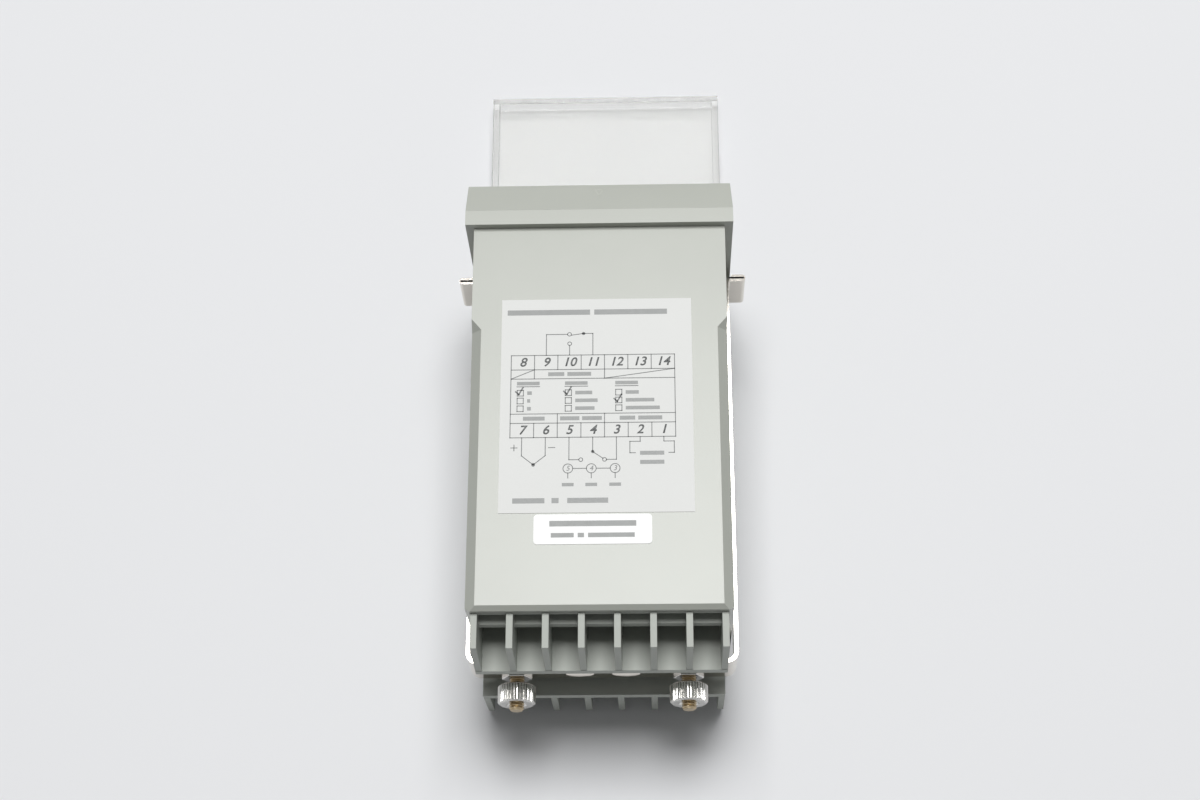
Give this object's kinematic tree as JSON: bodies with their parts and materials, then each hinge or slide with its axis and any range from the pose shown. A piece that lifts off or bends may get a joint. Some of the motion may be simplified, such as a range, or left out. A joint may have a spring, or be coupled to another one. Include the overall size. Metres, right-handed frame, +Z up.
{
  "type": "panel-mount temperature controller",
  "caption": "Square-fronted panel-mount process temperature controller with a hinged clear cover, screw terminals in tiers at the rear and a sheet-metal clamping bracket.",
  "frame": {"origin": "centre of the bezel's rear face, where the instrument seats on its panel", "axes": "+Y out of the front, +Z up, +X to the right seen from the terminals"},
  "size_m": [0.0804, 0.2041, 0.072],
  "materials": {
    "case_plastic": "fine satin moulding",
    "panel_plastic": "satin dark grey front",
    "red_window": "polished dark red filter",
    "lamp_red": "diffused lamp lens",
    "board_green": "solder resist over glass laminate",
    "screw_steel": "zinc plated",
    "switch_black": "moulded",
    "wheel_black": "moulded",
    "terminal_plastic": "satin moulding",
    "contact_brass": "tinned brass strip",
    "stud_brass": "threaded",
    "nut_chrome": "straight knurl, bright nickel",
    "strap_steel": "bright nickel plated sheet",
    "label_white": "printed film",
    "core_iron": "varnished laminations",
    "winding_tape": "taped winding",
    "relay_plastic": "sealed cap",
    "capacitor_sleeve": "shrunk sleeve",
    "chip_black": "moulded package",
    "clear_plastic": "clear polished moulding"
  },
  "bodies": {
    "case": {"case_shell": "case_plastic", "front_frame": "case_plastic", "front_panel": "panel_plastic", "display_window": "red_window", "display_module": "chip_black", "indicator_lamps": "lamp_red", "display_board": "board_green", "board_screws": "screw_steel", "setpoint_switch": "switch_black", "wheel_shaft": "screw_steel", "alarm_pot": "switch_black", "upper_terminal_strip": "terminal_plastic", "lower_terminal_strip": "terminal_plastic", "terminal_screws": "screw_steel", "terminal_clamps": "screw_steel", "terminal_contacts": "contact_brass", "rear_plate": "terminal_plastic", "left_stud": "stud_brass", "right_stud": "stud_brass", "lock_nuts": "nut_chrome", "wiring_label": "label_white", "strip_label": "label_white", "main_board": "board_green", "power_board": "board_green", "board_headers": "chip_black", "terminal_board": "board_green", "transformer_core": "core_iron", "transformer_coil": "winding_tape", "control_relay": "relay_plastic", "alarm_relay": "relay_plastic", "filter_capacitors": "capacitor_sleeve", "controller_chips": "chip_black"},
    "cover": {"clear_cover": "clear_plastic", "hinge_pins": "screw_steel"},
    "bracket": {"mounting_bracket": "strap_steel"},
    "left_nut": {"left_thumb_nut": "nut_chrome"},
    "right_nut": {"right_thumb_nut": "nut_chrome"},
    "hundreds_wheel": {"hundreds_wheel": "wheel_black"},
    "tens_wheel": {"tens_wheel": "wheel_black"},
    "units_wheel": {"units_wheel": "wheel_black"},
    "alarm_knob": {"alarm_knob": "wheel_black"}
  },
  "joints": [
    {"name": "cover_hinge", "type": "hinge", "parent": "case", "child": "cover", "pos_m": [0, 0.0148, -0.033], "axis": [1, 0, 0], "range_deg": [0, 90]},
    {"name": "bracket_slide", "type": "slide", "parent": "case", "child": "bracket", "axis": [0, 1, 0], "range_m": [0, 0.0011]},
    {"name": "left_nut_turn", "type": "hinge", "parent": "case", "child": "left_nut", "pos_m": [-0.0225, -0.12, 0], "axis": [0, -1, 0], "continuous": true},
    {"name": "right_nut_turn", "type": "hinge", "parent": "case", "child": "right_nut", "pos_m": [0.0225, -0.12, 0], "axis": [0, -1, 0], "continuous": true},
    {"name": "hundreds_wheel_turn", "type": "hinge", "parent": "case", "child": "hundreds_wheel", "pos_m": [0.012, 0.0062, -0.014], "axis": [1, 0, 0], "continuous": true},
    {"name": "tens_wheel_turn", "type": "hinge", "parent": "case", "child": "tens_wheel", "pos_m": [0.004, 0.0062, -0.014], "axis": [1, 0, 0], "continuous": true},
    {"name": "units_wheel_turn", "type": "hinge", "parent": "case", "child": "units_wheel", "pos_m": [-0.004, 0.0062, -0.014], "axis": [1, 0, 0], "continuous": true},
    {"name": "alarm_knob_turn", "type": "hinge", "parent": "case", "child": "alarm_knob", "pos_m": [-0.019, 0.012, -0.014], "axis": [0, 1, 0], "range_deg": [-140, 140]}
  ]
}
